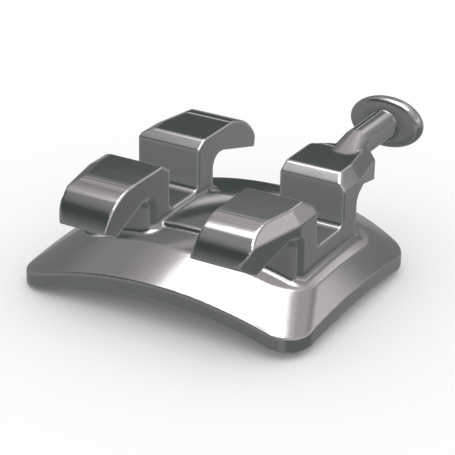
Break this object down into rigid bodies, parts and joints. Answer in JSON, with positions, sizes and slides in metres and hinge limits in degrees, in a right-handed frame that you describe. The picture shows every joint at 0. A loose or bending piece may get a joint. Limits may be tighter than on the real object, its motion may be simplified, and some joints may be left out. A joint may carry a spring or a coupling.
{
  "type": "orthodontic bracket",
  "caption": "Twin orthodontic bracket: archwire slot between paired tie wings, a curved bonding base and a button hook on one wing.",
  "frame": {"origin": "middle of the bonding base, on the crown of the curved face that lies on the tooth, below the middle of the archwire slot", "axes": "+X along the archwire slot, +Y across the slot towards the hook, +Z away from the tooth"},
  "size_m": [0.0034, 0.0037, 0.0015],
  "materials": {
    "polished_steel": "tumble polished, with darker recesses"
  },
  "bodies": {
    "root": {"bracket": "polished_steel"}
  },
  "joints": []
}
